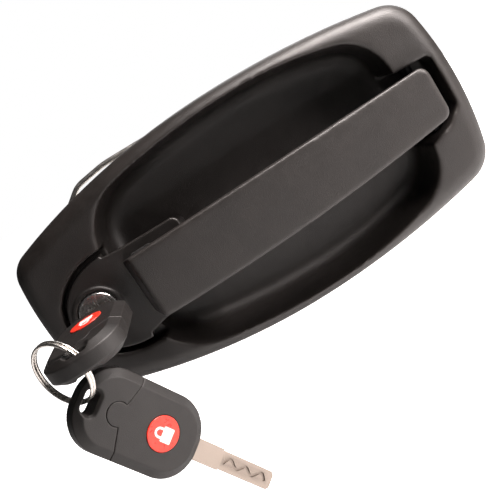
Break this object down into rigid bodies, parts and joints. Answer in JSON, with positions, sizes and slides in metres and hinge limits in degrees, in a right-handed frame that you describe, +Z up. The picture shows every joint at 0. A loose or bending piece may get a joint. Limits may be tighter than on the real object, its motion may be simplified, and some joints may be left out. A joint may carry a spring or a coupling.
{
  "type": "car door handle",
  "caption": "Exterior car door handle: a pull grip hinged over an oval bowl, a lock with its key, a split ring with a spare key, a release lever and a lock rod behind.",
  "frame": {"origin": "midpoint between the two mounting studs, on the plane of the door skin", "axes": "+X along the handle towards the grip's pivot, +Y into the door, +Z up as fitted"},
  "size_m": [0.198, 0.1196, 0.1446],
  "materials": {
    "handle_plastic": "fine moulded grain, warm black",
    "carrier_plastic": "satin moulded black",
    "rubber": "matt",
    "plated_steel": "zinc plated",
    "screw_steel": "zinc plated",
    "spring_steel": "oiled spring steel",
    "die_cast": "zinc die casting, as cast",
    "chrome": "polished",
    "brass": "stamped",
    "bright_wire": "bright drawn wire",
    "clip_plastic": "natural nylon, dark",
    "ring_steel": "nickel plated",
    "key_plastic": "fine moulded grain",
    "badge_red": null,
    "blade_metal": "nickel silver, satin",
    "chip_plastic": "sealed chip"
  },
  "bodies": {
    "root": {"housing": "handle_plastic", "seal_gasket": "rubber", "mounting_studs": "plated_steel", "lock_carrier": "carrier_plastic", "lock_barrel": "die_cast", "lock_o_ring": "rubber", "lock_retaining_clip": "spring_steel", "lock_return_spring": "spring_steel", "rear_bracket": "plated_steel", "bracket_screws": "screw_steel", "lever_pivot_pin": "plated_steel", "lever_return_spring": "spring_steel", "grip_pivot_pin": "plated_steel", "grip_return_spring": "spring_steel", "grip_buffer": "rubber"},
    "grip": {"grip_shell": "handle_plastic", "grip_rear_cover": "carrier_plastic", "grip_arm": "plated_steel", "grip_arm_screws": "screw_steel"},
    "lever": {"release_lever": "plated_steel"},
    "lock_plug": {"lock_plug": "die_cast", "lock_plug_face": "chrome", "lock_wafers": "brass", "lock_cam": "plated_steel", "lock_cam_clip": "spring_steel"},
    "lock_rod": {"lock_rod": "bright_wire", "lock_rod_clip": "clip_plastic"},
    "key_1": {"key_1_head_body": "key_plastic", "key_1_head_cap": "key_plastic", "key_1_badge": "badge_red", "key_1_blade": "blade_metal", "key_1_transponder": "chip_plastic"},
    "split_ring": {"split_ring": "ring_steel"},
    "key_2": {"key_2_head_body": "key_plastic", "key_2_head_cap": "key_plastic", "key_2_badge": "badge_red", "key_2_blade": "blade_metal", "key_2_transponder": "chip_plastic"}
  },
  "joints": [
    {"name": "grip_pull", "type": "hinge", "parent": "root", "child": "grip", "pos_m": [0.084, 0.003, 0], "axis": [0, 0, 1], "range_deg": [0, 8], "stiffness_Nm_per_rad": 2, "springref_deg": -22.92},
    {"name": "lever_swing", "type": "hinge", "parent": "root", "child": "lever", "pos_m": [-0.042, 0.03, 0.0254], "axis": [-1, 0, 0], "range_deg": [0, 40], "stiffness_Nm_per_rad": 0.02, "springref_deg": -17.19},
    {"name": "lock_turn", "type": "hinge", "parent": "root", "child": "lock_plug", "pos_m": [-0.0734, 0, -0.0018], "axis": [0, 1, 0], "range_deg": [-20, 50], "stiffness_Nm_per_rad": 0.3},
    {"name": "rod_shift", "type": "hinge", "parent": "lock_plug", "child": "lock_rod", "pos_m": [-0.0734, 0.025, 0.0122], "axis": [0, 1, 0], "range_deg": [-50, 20]},
    {"name": "key_1_slide", "type": "slide", "parent": "lock_plug", "child": "key_1", "axis": [0, -1, 0], "range_m": [0, 0.042]},
    {"name": "ring_turn", "type": "hinge", "parent": "key_1", "child": "split_ring", "pos_m": [-0.08356, -0.06009, -0.00346], "axis": [0.588, 0.808, 0.038], "range_deg": [-5, 20]},
    {"name": "key_2_swing", "type": "hinge", "parent": "split_ring", "child": "key_2", "pos_m": [-0.08331, -0.05946, -0.0161], "axis": [-0.8088, 0.5879, 0.0133], "range_deg": [-8, 15]}
  ],
  "couplings": [
    {"joint": "lever_swing", "follows": "grip_pull", "ratio": 5},
    {"joint": "rod_shift", "follows": "lock_turn", "ratio": -1}
  ]
}
